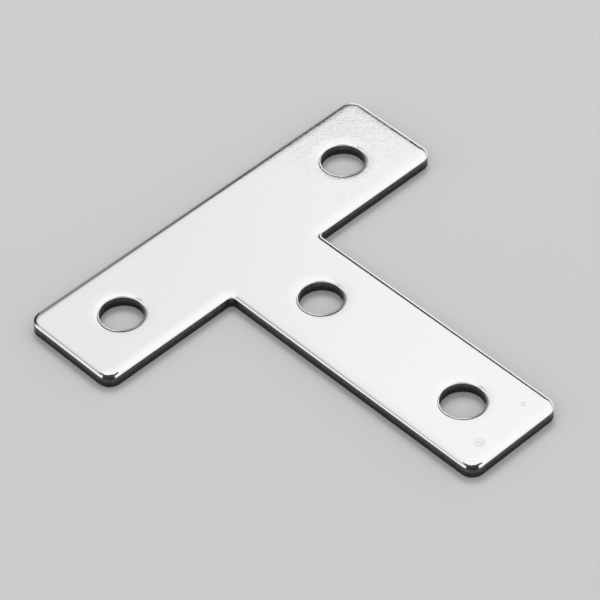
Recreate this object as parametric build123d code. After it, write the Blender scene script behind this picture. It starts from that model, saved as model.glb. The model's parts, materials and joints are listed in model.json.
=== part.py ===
from build123d import *
import os

# Joining plate for slotted aluminium extrusion: one flat T, blanked and pierced from steel sheet.
#
# Millimetres. The origin is where the crossbar's row of holes meets the stem's centre-line, on the
# underside. +X runs along the crossbar, the stem runs towards -Y, and +Z points up through the sheet
# to the face that the punches went in from.

# ---- driving sizes ----
sheet_thickness = 2.0
crossbar_length = 59.4
crossbar_width = 16.0
stem_length = 44.0  # from the crossbar's inner edge to the stem's end
stem_width = 16.0
outer_corner_radius = 2.0
inner_corner_radius = 0.7

hole_diameter = 6.0  # clears an M5 bolt
hole_end_margin = 9.5  # from an arm's end to the centre of its end hole
root_hole_distance = 8.6  # from the crossbar's inner edge to the stem's inner hole

# Shearing draws the sheet down beside each cut, so the punch side turns over in a shallow curve.
edge_roll_width = 1.0
edge_roll_depth = 0.35
rim_roll_width = 0.7
rim_roll_depth = 0.3
underside_break = 0.12  # tumbled corner all round the underside

cutter_overrun = 0.4  # how far each cutter runs past the sheet

# ---- places worked out from the sizes ----
bar_end_x = crossbar_length / 2
stem_side_x = stem_width / 2
outer_edge_y = crossbar_width / 2
inner_edge_y = -crossbar_width / 2
stem_end_y = inner_edge_y - stem_length

hole_radius = hole_diameter / 2
hole_centres = [
    (bar_end_x - hole_end_margin, 0),
    (hole_end_margin - bar_end_x, 0),
    (0, inner_edge_y - root_hole_distance),
    (0, stem_end_y + hole_end_margin),
]


def t_outline():
    """The blank's closed outline, anticlockwise from the far right, with every corner rounded."""
    corners = [
        (bar_end_x, outer_edge_y, outer_corner_radius),
        (-bar_end_x, outer_edge_y, outer_corner_radius),
        (-bar_end_x, inner_edge_y, outer_corner_radius),
        (-stem_side_x, inner_edge_y, inner_corner_radius),
        (-stem_side_x, stem_end_y, outer_corner_radius),
        (stem_side_x, stem_end_y, outer_corner_radius),
        (stem_side_x, inner_edge_y, inner_corner_radius),
        (bar_end_x, inner_edge_y, outer_corner_radius),
    ]
    points = [(x, y) for x, y, radius in corners]
    radii = [radius for x, y, radius in corners]
    return FilletPolyline(*points, radius=radii, close=True)


def edge_roll_cutter(outline):
    """The sliver that the blanking punch draws down, carried once round the top edge.

    Its section is a square corner less a quarter ellipse, so the roll leaves both the flat face
    and the cut wall without a kink."""
    top_edge = outline.moved(Location((0, 0, sheet_thickness)))
    along = top_edge % 0
    out_of_metal = along.cross(Vector(0, 0, 1))
    with BuildSketch(Plane(origin=top_edge @ 0, x_dir=out_of_metal, z_dir=-along)) as sliver:
        with BuildLine():
            roll = EllipticalCenterArc(
                (-edge_roll_width, -edge_roll_depth), edge_roll_width, edge_roll_depth
            )
            Polyline(
                roll @ 1,
                (-edge_roll_width, cutter_overrun),
                (cutter_overrun, cutter_overrun),
                (cutter_overrun, -edge_roll_depth),
                roll @ 0,
            )
        make_face()
    return sweep(sliver.sketch, path=top_edge)


def hole_cutter():
    """A straight round hole whose upper rim flares out where the piercing punch drew the sheet in."""
    roll_start_z = sheet_thickness - rim_roll_depth
    flare_radius = hole_radius + rim_roll_width
    with BuildSketch(Plane.XZ) as half_section:
        with BuildLine():
            flare = EllipticalCenterArc(
                (flare_radius, roll_start_z), rim_roll_width, rim_roll_depth, start_angle=180, arc_size=-90
            )
            Polyline(
                flare @ 1,
                (flare_radius, sheet_thickness + cutter_overrun),
                (0, sheet_thickness + cutter_overrun),
                (0, -cutter_overrun),
                (hole_radius, -cutter_overrun),
                flare @ 0,
            )
        make_face()
    return revolve(half_section.sketch, Axis.Z)


def joining_plate():
    """The whole plate: blank, rolled outline, pierced holes and a tumbled underside."""
    outline = t_outline()
    plate = extrude(make_face(outline), sheet_thickness)
    plate -= edge_roll_cutter(outline)
    plate -= [Pos(x, y, 0) * hole_cutter() for x, y in hole_centres]
    underside = plate.faces().sort_by(Axis.Z)[0]
    return chamfer(underside.edges(), underside_break)


os.makedirs("parts", exist_ok=True)
export_step(joining_plate(), "parts/joining_plate.step")
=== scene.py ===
import bmesh
import bpy
import json
from math import atan2, cos, hypot, pi, radians, sin, sqrt, tan
from mathutils import Matrix, Vector, noise


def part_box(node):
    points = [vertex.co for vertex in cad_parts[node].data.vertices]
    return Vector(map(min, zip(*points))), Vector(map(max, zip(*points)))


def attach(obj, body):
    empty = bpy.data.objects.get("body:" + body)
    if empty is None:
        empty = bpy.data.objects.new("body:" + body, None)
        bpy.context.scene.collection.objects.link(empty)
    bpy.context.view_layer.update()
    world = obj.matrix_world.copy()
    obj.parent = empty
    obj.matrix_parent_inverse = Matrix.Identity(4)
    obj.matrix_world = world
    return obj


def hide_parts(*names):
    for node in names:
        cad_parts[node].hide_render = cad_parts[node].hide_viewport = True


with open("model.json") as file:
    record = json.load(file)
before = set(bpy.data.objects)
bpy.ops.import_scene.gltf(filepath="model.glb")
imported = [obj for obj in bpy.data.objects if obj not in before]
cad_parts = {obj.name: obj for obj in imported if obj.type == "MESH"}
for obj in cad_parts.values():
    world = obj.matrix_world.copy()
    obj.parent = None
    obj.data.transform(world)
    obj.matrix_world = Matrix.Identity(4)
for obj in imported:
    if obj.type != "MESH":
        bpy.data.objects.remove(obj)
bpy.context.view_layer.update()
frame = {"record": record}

MM = 0.001

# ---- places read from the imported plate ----
mounts = {mount["name"]: mount for mount in frame["record"]["mounts"]}
low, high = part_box("joining_plate")
sheet_top_z = high.z
bar_end_x = high.x
outer_edge_y = high.y
inner_edge_y = -high.y
stem_end_y = low.y
hole_radius = mounts["crossbar_bolts"]["dims"]["hole_r_mm"] * MM
half_bar_pitch = mounts["crossbar_bolts"]["dims"]["spacing_x_mm"] * MM / 2
half_stem_pitch = mounts["stem_bolts"]["dims"]["spacing_y_mm"] * MM / 2
stem_row_y = mounts["stem_bolts"]["pos_m"][1]
hole_centres = [
    (half_bar_pitch, 0),
    (-half_bar_pitch, 0),
    (0, stem_row_y + half_stem_pitch),
    (0, stem_row_y - half_stem_pitch),
]

# ---- sizes of the pressing that the record doesn't carry ----
stem_side_x = 8.0 * MM
outer_corner_radius = 2.0 * MM
inner_corner_radius = 0.7 * MM
edge_roll_width = 1.0 * MM
edge_roll_depth = 0.35 * MM
rim_roll_width = 0.7 * MM
rim_roll_depth = 0.3 * MM
underside_break = 0.12 * MM
edge_dish_width = 0.84 * MM  # the shallow draw between a roll and the flat
rim_dish_width = 1.1 * MM
dish_tilt = radians(3.2)  # its slope where it meets the roll
corner_draw = 0.12  # how much further than the straight edges the outer corners are drawn down, as a share
nose_draw = 0.8  # the same at the two corners with painted dark reflections, on the left: the crossbar's inner one and the stem's

# ---- the cut walls ----
sheared_height = 0.7 * MM  # the clean part of a cut wall, below the roll; the rest is torn
tear_depth = 0.035 * MM  # how far the torn part lies behind the clean one
tear_wave = 0.2 * MM  # how far the line between them wanders up and down
tear_wave_lengths = (1.7 * MM, 0.6 * MM)  # of its long waves, and of the short, half as high ones on them
tear_lump_size = 0.35 * MM

# ---- painted dark reflections ----
# each painted dark line: how far in from the outline it lies, and how far it reaches from the corner's middle
nose_dark_line = (0.36 * MM, 1.6 * MM)  # at the two nose corners
heel_dark_line = (0.3 * MM, 1.3 * MM)  # at the crossbar's outer left corner
no_line = (0, 0)
line_core = 0.03 * MM  # a painted dark line is whole this far to either side of itself
line_half_width = 0.2 * MM  # and gone at this distance
line_steady_reach = 0.9 * MM  # it starts to fade this far from the corner's middle
# the painted dark reflection patch on a nose corner, each time where it starts and where it's whole
nose_patch_radii = (1.45 * MM, 1.75 * MM)  # from the centre of the corner's rounding
nose_patch_shares = (0.2, 0.55)  # between the corner's ends, which are 0, and its middle, which is 1
scuff_marks = [(4.8 * MM, -48.6 * MM, 0.45 * MM), (-3.8 * MM, -49.2 * MM, 0.85 * MM)]  # x, y, radius

# ---- how much light the finishes give back ----
plating_level = 0.9
# the colour of the painted dark reflections at the nose corners and along the painted dark lines
painted_dark_level = 0.05
floor_level = 0.5

# ---- where the plate is seen from: angles in degrees, lens and sensor in mm ----
camera_azimuth = -131.98
camera_elevation = 45.98
camera_roll = -2.61  # about the line of sight
camera_distance = 460.2 * MM
camera_aim = Vector((-2.35 * MM, -15.08 * MM, sheet_top_z))
camera_lens = 211.122
camera_sensor = 36
back_azimuth = 48  # the room's back, which the camera looks towards

# ---- how finely the surfaces are cut ----
corner_segments = 20
roll_segments = 14
dish_segments = 6
wall_rows = 10
hole_segments = 128
longest_edge = 0.3 * MM
flat_margin = 0.06 * MM  # a narrow flat strip that keeps a curve's shading off the flat beside it
same_height = 1e-7  # points closer than this in height lie on one level


def roll_points(width, depth, dish_width):
    """Distances (inward, upward) from the cut wall to the flat: a quarter-ellipse roll, then a shallow dish,
    as deep as asked together.

    The roll turns by the same angle at every step, so highlights run smoothly round it."""
    points = []
    for step in range(roll_segments + 1):
        tilt = pi / 2 + (dish_tilt - pi / 2) * step / roll_segments
        reach = hypot(width * sin(tilt), depth * cos(tilt))
        points.append((width - width**2 * sin(tilt) / reach, depth**2 * cos(tilt) / reach))
    roll_inward, roll_upward = points[-1]
    dish_rise = dish_width * tan(dish_tilt) / 2
    for step in range(1, dish_segments + 1):
        share = step / dish_segments
        points.append((roll_inward + dish_width * share, roll_upward + dish_rise * (1 - (1 - share) ** 2)))
    stretch = depth / points[-1][1]
    return [(inward, upward * stretch) for inward, upward in points]


def raise_face(bm, face, height):
    """Carries a face along its normal on new walls."""
    new_face = bmesh.ops.extrude_discrete_faces(bm, faces=[face])["faces"][0]
    bmesh.ops.translate(bm, verts=new_face.verts, vec=new_face.normal * height)
    return new_face


def blank_outline(bm):
    """One flat T-shaped face with rounded corners, its long edges divided into short lengths."""
    corners = [
        (bar_end_x, outer_edge_y),
        (-bar_end_x, outer_edge_y),
        (-bar_end_x, inner_edge_y),
        (-stem_side_x, inner_edge_y),
        (-stem_side_x, stem_end_y),
        (stem_side_x, stem_end_y),
        (stem_side_x, inner_edge_y),
        (bar_end_x, inner_edge_y),
    ]
    verts = [bm.verts.new((x, y, underside_break)) for x, y in corners]
    bm.faces.new(verts)
    inner_corners = [verts[3], verts[6]]
    outer_corners = [v for v in verts if v not in inner_corners]
    for group, radius in ((outer_corners, outer_corner_radius), (inner_corners, inner_corner_radius)):
        bmesh.ops.bevel(
            bm, geom=group, offset=radius, offset_type="OFFSET", segments=corner_segments,
            profile=0.5, affect="VERTICES", material=-1,
        )
    for edge in list(bm.edges):
        cuts = int(edge.calc_length() / longest_edge)
        if cuts:
            bmesh.ops.subdivide_edges(bm, edges=[edge], cuts=cuts)
    return bm.faces[:][0]


def skirt(bm):
    """The rolled top edge, the cut wall and the broken lower edge, all round the blank."""
    foot = blank_outline(bm)
    made = bmesh.ops.extrude_face_region(bm, geom=[foot], use_keep_orig=True)["geom"]
    head = [item for item in made if isinstance(item, bmesh.types.BMFace)][0]
    bmesh.ops.translate(bm, verts=head.verts, vec=(0, 0, flat_margin))
    bmesh.ops.recalc_face_normals(bm, faces=bm.faces)
    wall_height = sheet_top_z - edge_roll_depth - underside_break
    for _ in range(wall_rows):
        head = raise_face(bm, head, (wall_height - 2 * flat_margin) / wall_rows)
    head = raise_face(bm, head, flat_margin)
    points = roll_points(edge_roll_width, edge_roll_depth, edge_dish_width)
    for (inward, upward), (next_inward, next_upward) in zip(points, points[1:]):
        bmesh.ops.inset_region(
            bm, faces=[head], thickness=next_inward - inward, depth=next_upward - upward,
            use_boundary=True, use_even_offset=True,
        )
    bmesh.ops.inset_region(bm, faces=[head], thickness=flat_margin, use_boundary=True, use_even_offset=True)
    bmesh.ops.inset_region(
        bm, faces=[foot], thickness=underside_break, depth=underside_break,
        use_boundary=True, use_even_offset=True,
    )
    bmesh.ops.inset_region(bm, faces=[foot], thickness=flat_margin, use_boundary=True, use_even_offset=True)
    bmesh.ops.delete(bm, geom=[head, foot], context="FACES_ONLY")


def pierced_hole(bm, centre):
    """A hole wall with its flared upper rim and broken lower rim, spun round its axis."""
    roll_start_z = sheet_top_z - rim_roll_depth
    wall_foot_z = underside_break + flat_margin
    row_height = (roll_start_z - flat_margin - wall_foot_z) / wall_rows
    section = [
        (hole_radius + underside_break + flat_margin, 0),
        (hole_radius + underside_break, 0),
        (hole_radius, underside_break),
    ]
    section += [(hole_radius, wall_foot_z + row * row_height) for row in range(wall_rows + 1)]
    section += [
        (hole_radius + inward, roll_start_z + upward)
        for inward, upward in roll_points(rim_roll_width, rim_roll_depth, rim_dish_width)
    ]
    section.append((section[-1][0] + flat_margin, sheet_top_z))
    x, y = centre
    verts = [bm.verts.new((x + radius, y, z)) for radius, z in section]
    edges = [bm.edges.new(pair) for pair in zip(verts, verts[1:])]
    bmesh.ops.spin(
        bm, geom=verts + edges, cent=(x, y, 0), axis=(0, 0, 1), angle=2 * pi,
        steps=hole_segments, use_merge=True,
    )


def flat_face(bm, z, normal):
    """The flat between the outline's loop and the holes' loops that lie at this height."""
    loops = [e for e in bm.edges if e.is_boundary and all(abs(v.co.z - z) < same_height for v in e.verts)]
    bmesh.ops.triangle_fill(bm, use_beauty=True, use_dissolve=False, edges=loops, normal=normal)


def smooth_step(value, start, end):
    """0 up to the start, 1 from the end on, and a smooth rise between them."""
    share = min(1.0, max(0.0, (value - start) / (end - start)))
    return share * share * (3 - 2 * share)


def painted_dark_line(across, down, inset, reach):
    """How strong a painted dark reflection is along a thin line that follows a corner's outline and fades out
    to both sides of its middle."""
    inward = outer_corner_radius - hypot(max(across, 0.0), max(down, 0.0))
    sideways = abs(across - down) / sqrt(2)
    strength = 1 - smooth_step(abs(inward - inset), line_core, line_half_width)
    return strength * (1 - smooth_step(sideways, line_steady_reach, reach))


def draw_corners(bm):
    """Draws the rolled edge further down at the six outer corners, most at the middle of each, and keeps
    for each point how strong a painted dark reflection is on it: over the middle of the two nose corners, and
    along the painted dark lines."""
    painted_dark_layer = bm.verts.layers.float.new("painted_dark_reflection")
    wall_top_z = sheet_top_z - edge_roll_depth
    corners = [
        (bar_end_x, outer_edge_y, 1, 1, corner_draw, no_line),
        (-bar_end_x, outer_edge_y, -1, 1, corner_draw, heel_dark_line),
        (-bar_end_x, inner_edge_y, -1, -1, nose_draw, nose_dark_line),
        (-stem_side_x, stem_end_y, -1, -1, nose_draw, nose_dark_line),
        (stem_side_x, stem_end_y, 1, -1, corner_draw, no_line),
        (bar_end_x, inner_edge_y, 1, -1, corner_draw, no_line),
    ]
    for corner_x, corner_y, way_x, way_y, draw, (line_inset, line_reach) in corners:
        for vert in bm.verts:
            # how far the point lies beyond the centre of the corner's rounding, along both edges
            across = (vert.co.x - corner_x) * way_x + outer_corner_radius
            down = (vert.co.y - corner_y) * way_y + outer_corner_radius
            # a painted dark reflection line along the corner's outline
            if line_reach and vert.co.z > wall_top_z:
                line = painted_dark_line(across, down, line_inset, line_reach)
                vert[painted_dark_layer] = max(vert[painted_dark_layer], line)
            if across <= 0 or down <= 0:
                continue
            middle_share = sin(2 * atan2(down, across)) ** 2
            drop = min(sheet_top_z - vert.co.z, edge_roll_depth)
            height_share = max(0.0, min(1.0, (vert.co.z - underside_break) / (wall_top_z - underside_break)))
            vert.co.z -= drop * draw * middle_share * height_share
            # a painted dark reflection over the middle of a nose corner
            if draw == nose_draw:
                outward = smooth_step(hypot(across, down), *nose_patch_radii)
                nose_patch = outward * smooth_step(middle_share, *nose_patch_shares)
                vert[painted_dark_layer] = max(vert[painted_dark_layer], nose_patch)


def tear_walls(bm):
    """Sets the torn lower part of every cut wall a little behind the clean part, along a wandering line,
    and keeps for each point how torn it is."""
    torn_layer = bm.verts.layers.float.new("torn")
    wall_top_z = sheet_top_z - edge_roll_depth
    row_height = (wall_top_z - underside_break) / wall_rows
    for vert in bm.verts:
        z = vert.co.z
        if z > wall_top_z or z < underside_break:
            continue
        along = Vector((vert.co.x, vert.co.y, 0))
        long_wave, short_wave = [noise.noise(along / length) for length in tear_wave_lengths]
        tear_line_z = wall_top_z - sheared_height + tear_wave * (long_wave + 0.5 * short_wave)
        torn = 1 - smooth_step(z, tear_line_z - row_height, tear_line_z + row_height)
        vert[torn_layer] = torn
        if torn and z > underside_break + flat_margin / 2:
            rough = 0.7 + 0.6 * noise.noise(vert.co / tear_lump_size)
            foot_fade = smooth_step(z, underside_break, underside_break + 2 * row_height)
            vert.co -= vert.normal * tear_depth * torn * rough * foot_fade


def make_plate():
    """The pressed plate as one closed mesh, its cut walls in the second finish."""
    bm = bmesh.new()
    skirt(bm)
    for centre in hole_centres:
        pierced_hole(bm, centre)
    draw_corners(bm)
    flat_face(bm, sheet_top_z, (0, 0, 1))
    flat_face(bm, 0, (0, 0, -1))
    bmesh.ops.recalc_face_normals(bm, faces=bm.faces)
    wall_low_z = underside_break - flat_margin / 2
    wall_high_z = sheet_top_z - rim_roll_depth
    for face in bm.faces:
        face.smooth = True
        if abs(face.normal.z) < 0.1 and all(wall_low_z < v.co.z < wall_high_z for v in face.verts):
            face.material_index = 1
    tear_walls(bm)
    mesh = bpy.data.meshes.new("pressed_plate")
    bm.to_mesh(mesh)
    bm.free()
    plate = bpy.data.objects.new("pressed_plate", mesh)
    bpy.context.scene.collection.objects.link(plate)
    return plate


# ---- finishes ----
def new_material(name):
    material = bpy.data.materials.new(name)
    material.use_nodes = True
    tree = material.node_tree
    return material, tree, tree.nodes["Principled BSDF"]


def put(tree, value, socket):
    """Sets a socket to a number or links it to another node's output."""
    if isinstance(value, (int, float)):
        socket.default_value = value
    else:
        tree.links.new(value, socket)


def calculate(tree, operation, *values):
    """The outcome of one operation on numbers or other nodes' outputs."""
    node = tree.nodes.new("ShaderNodeMath")
    node.operation = operation
    for value, socket in zip(values, node.inputs):
        put(tree, value, socket)
    return node.outputs["Value"]


def mix(tree, share, start, end):
    """The start where the share is 0, the end where it's 1. Each may be a number or another node's output."""
    node = tree.nodes.new("ShaderNodeMix")
    put(tree, share, node.inputs["Factor"])
    put(tree, start, node.inputs["A"])
    put(tree, end, node.inputs["B"])
    return node.outputs["Result"]


def spread(tree, value, from_low, from_high, to_low=0.0, to_high=1.0):
    """Maps one range of values smoothly onto another and holds it at both ends."""
    node = tree.nodes.new("ShaderNodeMapRange")
    node.interpolation_type = "SMOOTHSTEP"
    numbers = {"From Min": from_low, "From Max": from_high, "To Min": to_low, "To Max": to_high}
    for name, number in numbers.items():
        node.inputs[name].default_value = number
    tree.links.new(value, node.inputs["Value"])
    return node.outputs["Result"]


def object_place(tree, stretch=(1, 1, 1)):
    """Object coordinates, stretched along an axis where a pattern runs that way."""
    node = tree.nodes.new("ShaderNodeMapping")
    node.inputs["Scale"].default_value = stretch
    tree.links.new(tree.nodes.new("ShaderNodeTexCoord").outputs["Object"], node.inputs["Vector"])
    return node.outputs["Vector"]


def mottle(tree, place, grain_size, detail=2.0):
    """Cloudy noise between 0 and 1 with grains of about this size."""
    node = tree.nodes.new("ShaderNodeTexNoise")
    node.inputs["Scale"].default_value = 1 / grain_size
    node.inputs["Detail"].default_value = detail
    tree.links.new(place, node.inputs["Vector"])
    return node.outputs["Fac"]


def separate(tree, vector, axis):
    """One axis of a vector."""
    node = tree.nodes.new("ShaderNodeSeparateXYZ")
    tree.links.new(vector, node.inputs["Vector"])
    return node.outputs[axis]


def attribute(tree, name):
    """What the plate's mesh keeps for each of its points under this name."""
    node = tree.nodes.new("ShaderNodeAttribute")
    node.attribute_name = name
    return node.outputs["Fac"]


def bump(tree, height, rise, normal=None):
    """A bump whose full range of height stands for this rise."""
    node = tree.nodes.new("ShaderNodeBump")
    node.inputs["Distance"].default_value = rise
    tree.links.new(height, node.inputs["Height"])
    if normal is not None:
        tree.links.new(normal, node.inputs["Normal"])
    return node.outputs["Normal"]


def scuffs(tree, place):
    """The small round scuffs, 1 at the specks that each is made of and 0 on the sound plating."""
    specks = spread(tree, mottle(tree, place, 0.17 * MM), 0.45, 0.65)
    marks = 0.0
    for x, y, radius in scuff_marks:
        distance = tree.nodes.new("ShaderNodeVectorMath")
        distance.operation = "DISTANCE"
        distance.inputs[1].default_value = (x, y, sheet_top_z)
        tree.links.new(place, distance.inputs[0])
        mark = spread(tree, distance.outputs["Value"], 0.6 * radius, 1.3 * radius, 1.0, 0.0)
        marks = calculate(tree, "MAXIMUM", marks, mark)
    return calculate(tree, "MULTIPLY", specks, marks)


def bright_plating():
    """Bright nickel over rolled sheet: close to a mirror, with a faint orange peel that grows coarser towards
    the right end and the outer edge, hazier patches, two scuffs, and painted dark reflections at some
    corners."""
    material, tree, shader = new_material("bright_plating")
    shader.inputs["Metallic"].default_value = 1.0
    place = object_place(tree)
    scuffed = scuffs(tree, place)
    # painted dark reflections at the corners, broken up into flecks
    flecks = spread(tree, mottle(tree, place, 0.16 * MM), 0.4, 0.7, 0.2, -0.3)
    painted_dark_reflection = spread(tree, calculate(tree, "ADD", attribute(tree, "painted_dark_reflection"), flecks), 0.35, 0.7)
    # how coarse the sheet under it is, by place
    coarse = calculate(
        tree, "MULTIPLY",
        spread(tree, separate(tree, place, "X"), 2 * MM, 24 * MM, 0.2, 1.0),
        spread(tree, separate(tree, place, "Y"), -8 * MM, 3 * MM, 0.6, 1.0),
    )
    cloud = spread(tree, mottle(tree, place, 0.3 * MM), 0.3, 0.7, -0.04, 0.055)
    clean = calculate(tree, "ADD", calculate(tree, "MULTIPLY", cloud, coarse), plating_level)
    clean = calculate(tree, "SUBTRACT", clean, calculate(tree, "MULTIPLY", scuffed, 0.08))
    # the painted dark reflections darken the plating's colour
    put(tree, mix(tree, painted_dark_reflection, clean, painted_dark_level), shader.inputs["Base Color"])
    haze = spread(tree, mottle(tree, place, 3.0 * MM), 0.35, 0.7, 0.04, 0.075)
    put(tree, mix(tree, painted_dark_reflection, haze, 0.3), shader.inputs["Roughness"])
    peel = bump(tree, calculate(tree, "MULTIPLY", mottle(tree, place, 0.9 * MM), coarse), 0.012 * MM)
    grain = calculate(tree, "MULTIPLY", mottle(tree, place, 0.22 * MM, 3.0), coarse)
    grain = bump(tree, grain, 0.018 * MM, peel)
    put(tree, bump(tree, scuffed, 0.009 * MM, grain), shader.inputs["Normal"])
    return material


def sheared_edge():
    """The cut walls: a burnished upper band with upright drag lines, and a darker, torn lower band, both near
    black: partly the cut steel's own darker tone, partly painted dark reflection.
    """
    material, tree, shader = new_material("sheared_edge")
    shader.inputs["Metallic"].default_value = 1.0
    torn = attribute(tree, "torn")
    drag = mottle(tree, object_place(tree, (1, 1, 0.06)), 0.16 * MM, 3.0)
    grit = mottle(tree, object_place(tree), 0.2 * MM, 4.0)
    # near-black levels: the cut steel's darker tone and painted dark reflection together
    clean_level = spread(tree, drag, 0.3, 0.7, 0.07, 0.15)
    torn_level = spread(tree, grit, 0.3, 0.75, 0.03, 0.09)
    put(tree, mix(tree, torn, clean_level, torn_level), shader.inputs["Base Color"])
    put(tree, mix(tree, torn, 0.3, 0.48), shader.inputs["Roughness"])
    lines = bump(tree, drag, 0.012 * MM)
    pits = bump(tree, calculate(tree, "MULTIPLY", grit, torn), 0.05 * MM, lines)
    put(tree, pits, shader.inputs["Normal"])
    return material


def pale_floor():
    material, tree, shader = new_material("pale_floor")
    shader.inputs["Base Color"].default_value = (floor_level, floor_level, floor_level, 1)
    shader.inputs["Roughness"].default_value = 0.85
    return material


plate = make_plate()
plate.data.materials.append(bright_plating())
plate.data.materials.append(sheared_edge())
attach(plate, "root")
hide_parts("joining_plate")


# ---- studio ----
def make_floor():
    bm = bmesh.new()
    bmesh.ops.create_grid(bm, x_segments=1, y_segments=1, size=1.5)
    mesh = bpy.data.meshes.new("floor")
    bm.to_mesh(mesh)
    bm.free()
    floor = bpy.data.objects.new("floor", mesh)
    bpy.context.scene.collection.objects.link(floor)
    floor.data.materials.append(pale_floor())


def direction(azimuth, elevation):
    """The way towards a point at this azimuth, anticlockwise from +X, and elevation, in degrees."""
    a, e = radians(azimuth), radians(elevation)
    return Vector((cos(a) * cos(e), sin(a) * cos(e), sin(e)))


def softbox(name, azimuth, elevation, distance, size, radiance):
    """A flat square lamp that faces the plate. It lights the plate but isn't mirrored in it: what the
    plating mirrors is the panel painted in the room."""
    lamp = bpy.data.lights.new(name, "AREA")
    lamp.size = size
    lamp.energy = radiance * pi * size**2
    holder = bpy.data.objects.new(name, lamp)
    towards = direction(azimuth, elevation)
    holder.location = towards * distance
    holder.rotation_euler = towards.to_track_quat("Z", "Y").to_euler()
    holder.visible_glossy = False
    bpy.context.scene.collection.objects.link(holder)


def along(tree, towards, way):
    """How far a direction points along a way."""
    node = tree.nodes.new("ShaderNodeVectorMath")
    node.operation = "DOT_PRODUCT"
    node.inputs[1].default_value = way
    tree.links.new(towards, node.inputs[0])
    return node.outputs["Value"]


def within(tree, value, start, end, softness):
    """1 between two values and 0 outside them, smooth across each."""
    half = softness / 2
    rise = spread(tree, value, start - half, start + half)
    fall = spread(tree, value, end - half, end + half, 1.0, 0.0)
    return calculate(tree, "MULTIPLY", rise, fall)


def patch(tree, towards, azimuth, elevation, inner, outer):
    """1 within an angle of a point of the room and 0 beyond a wider one."""
    nearness = along(tree, towards, direction(azimuth, elevation))
    return spread(tree, nearness, cos(radians(outer)), cos(radians(inner)))


def studio_room():
    """The room that the plating mirrors: a bright panel overhead, pale walls to the sides,
    and at the back a dark opening below the panel.

    Bearings run from the back round to the left, and heights from level upwards, in degrees."""
    world = bpy.data.worlds.new("studio_room")
    bpy.context.scene.world = world
    world.use_nodes = True
    tree = world.node_tree
    towards = tree.nodes.new("ShaderNodeTexCoord").outputs["Generated"]
    left_part = along(tree, towards, direction(back_azimuth + 90, 0))
    back_part = along(tree, towards, direction(back_azimuth, 0))
    bearing = calculate(tree, "DEGREES", calculate(tree, "ARCTAN2", left_part, back_part))
    height = calculate(tree, "DEGREES", calculate(tree, "ARCSINE", along(tree, towards, (0, 0, 1))))

    def between(start, end, softness, height_share):
        """A share of height where the bearing lies between two others, and 0 elsewhere."""
        return calculate(tree, "MULTIPLY", within(tree, bearing, start, end, softness), height_share)

    def panel_edge(right, back, softened_by, raised_by):
        """A height of the panel's lower edge, from the right to the back and on to the left."""
        edge = spread(tree, bearing, -8, -1, right, back)
        edge = calculate(tree, "ADD", edge, spread(tree, bearing, 3, 16, 0, softened_by))
        return calculate(tree, "ADD", edge, spread(tree, bearing, 24, 62, 0, raised_by))

    # the low strip at the back, dimmer a little to the left of it
    level = mix(tree, within(tree, bearing, -150, 150, 20), 0.55, 1.0)
    level = mix(tree, within(tree, bearing, 1, 72, 6), level, spread(tree, bearing, 13, 20, 0.45, 0.2))
    # the opening: darker to the right of the back, with a black place in the middle of that part,
    # and nearly black to the left of the back, below a slanted edge
    opening = mix(tree, within(tree, bearing, -26, 1, 5), 0.25, 0.15)
    opening = mix(tree, within(tree, bearing, -22, -8, 4), opening, 0.015)
    below_slant = spread(tree, calculate(tree, "ADD", bearing, height), 40.5, 44, 1.0, 0.0)
    opening = mix(tree, between(1, 20, 3, below_slant), opening, 0.07)
    opening = mix(tree, within(tree, bearing, 19, 76, 8), opening, 0.2)
    level = mix(tree, between(-58, 70, 12, spread(tree, height, 22, 26)), level, opening)
    # the panel, whose lower edge is sharp to the right of the back, softer to the left of it,
    # and hangs lower further to the left; it's brightest high up, most to the right
    edge_low = panel_edge(34, 37, -7, -2)
    edge_high = panel_edge(37.5, 40.5, 7, -12)
    edge_span = calculate(tree, "SUBTRACT", edge_high, edge_low)
    over_edge = calculate(tree, "DIVIDE", calculate(tree, "SUBTRACT", height, edge_low), edge_span)
    panel = spread(tree, bearing, -3, 3, 0.95, 0.87)
    level = mix(tree, between(-150, 150, 30, spread(tree, over_edge, 0, 1)), level, panel)
    level = mix(tree, patch(tree, towards, 0, 62, 16, 38), level, 1.05)
    level = mix(tree, spread(tree, height, 58, 68), level, 1.05)
    # the gap between the panel and the left wall, and the wall
    level = mix(tree, between(38, 86, 26, within(tree, height, 52.5, 61, 7)), level, 0.48)
    level = mix(tree, between(76, 150, 10, within(tree, height, 5, 50, 6)), level, 1.0)
    tree.links.new(level, tree.nodes["Background"].inputs["Color"])


def make_camera():
    """Looks down on the plate from beyond the crossbar's left end and the stem's left side."""
    camera = bpy.data.cameras.new("camera")
    camera.sensor_width = camera_sensor
    camera.lens = camera_lens
    camera.clip_start = 0.01
    holder = bpy.data.objects.new("camera", camera)
    towards = direction(camera_azimuth, camera_elevation)
    holder.location = camera_aim + towards * camera_distance
    facing = towards.to_track_quat("Z", "Y").to_matrix().to_4x4()
    turn = facing @ Matrix.Rotation(radians(camera_roll), 4, "Z")
    holder.rotation_euler = turn.to_euler()
    bpy.context.scene.collection.objects.link(holder)
    bpy.context.scene.camera = holder


make_floor()
softbox("overhead_softbox", back_azimuth, 58, 1.2, 0.5, 8.0)
studio_room()
make_camera()
bpy.context.scene.view_settings.view_transform = "Standard"
